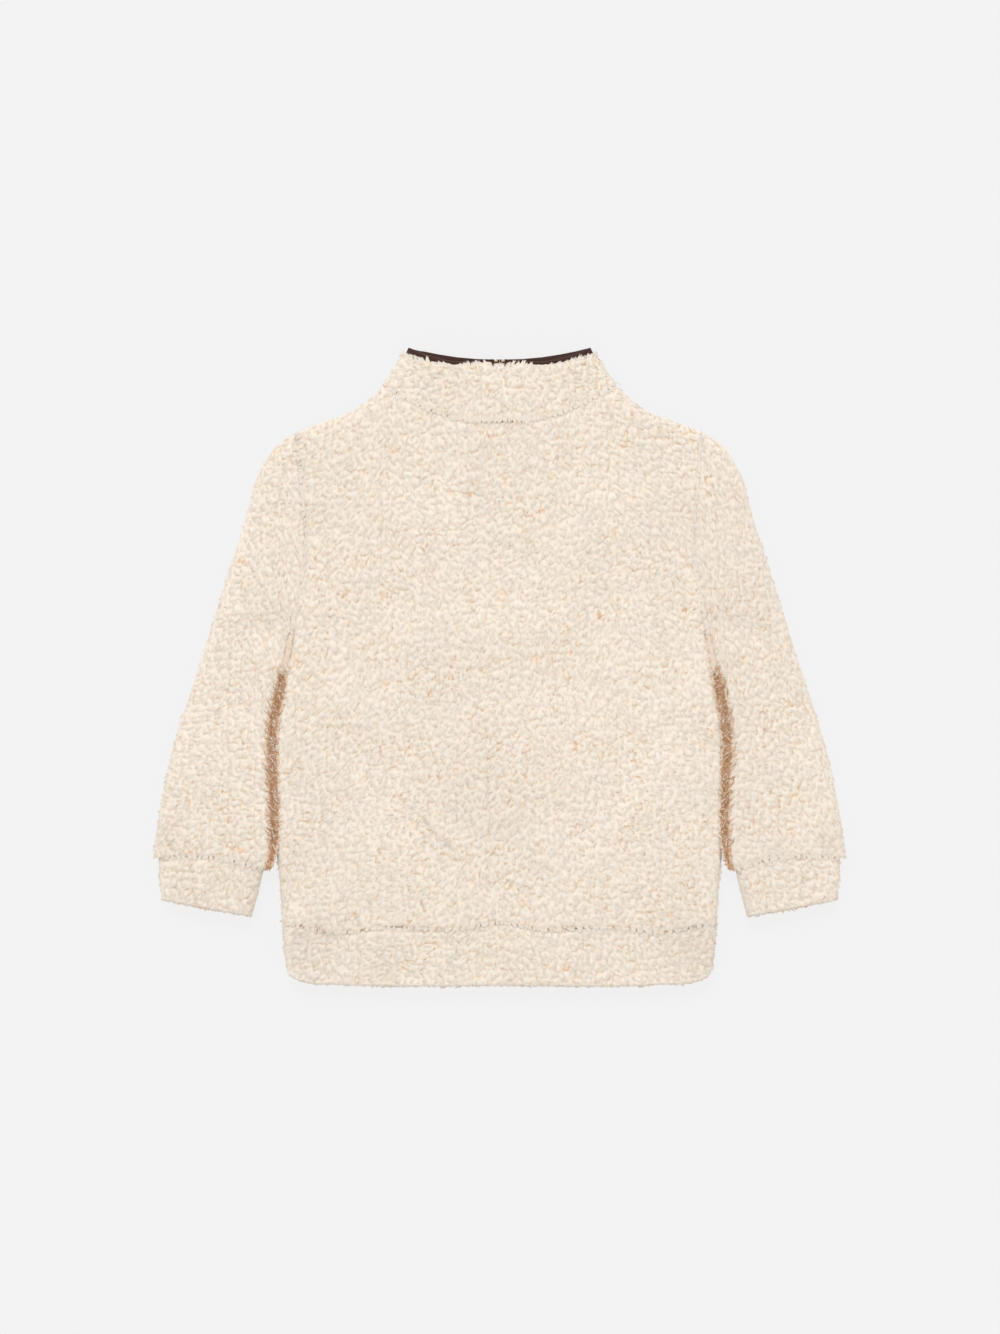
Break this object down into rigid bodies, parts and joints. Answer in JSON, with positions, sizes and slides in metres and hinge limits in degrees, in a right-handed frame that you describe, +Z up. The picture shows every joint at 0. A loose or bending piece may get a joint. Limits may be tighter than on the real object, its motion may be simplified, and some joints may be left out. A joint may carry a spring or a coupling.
{
  "type": "fleece pullover",
  "caption": "Toddler's teddy-fleece pullover laid flat with its back up: stand collar with a dark bound edge, front zip, set-in sleeves, cuffs and hem band.",
  "frame": {"origin": "on the surface that the garment lies on, at the middle of the garment's box", "axes": "+Z up from the surface through the two layers, +Y from the hem to the collar, +X across the back from the wearer's left to the wearer's right"},
  "size_m": [0.45, 0.4155, 0.0172],
  "materials": {
    "teddy_fleece": "matt sherpa pile, cream, with peach shade between the tufts",
    "binding_tape": "matt woven tape, dark brown",
    "zip_tape": "matt herringbone tape, dark brown",
    "zip_metal": "antique brass, slightly worn"
  },
  "bodies": {
    "garment": {"back": "teddy_fleece", "front": "teddy_fleece", "sleeve_left": "teddy_fleece", "sleeve_right": "teddy_fleece", "cuff_left": "teddy_fleece", "cuff_right": "teddy_fleece", "hem_band": "teddy_fleece", "collar": "teddy_fleece", "collar_binding": "binding_tape", "zip_tape": "zip_tape", "zip_slider": "zip_metal"},
    "zip_pull_tab": {"zip_pull": "zip_metal"}
  },
  "joints": [
    {"name": "zip_pull_hinge", "type": "hinge", "parent": "garment", "child": "zip_pull_tab", "pos_m": [0, 0.184, 0.0022], "axis": [1, 0, 0], "range_deg": [0, 170]}
  ]
}
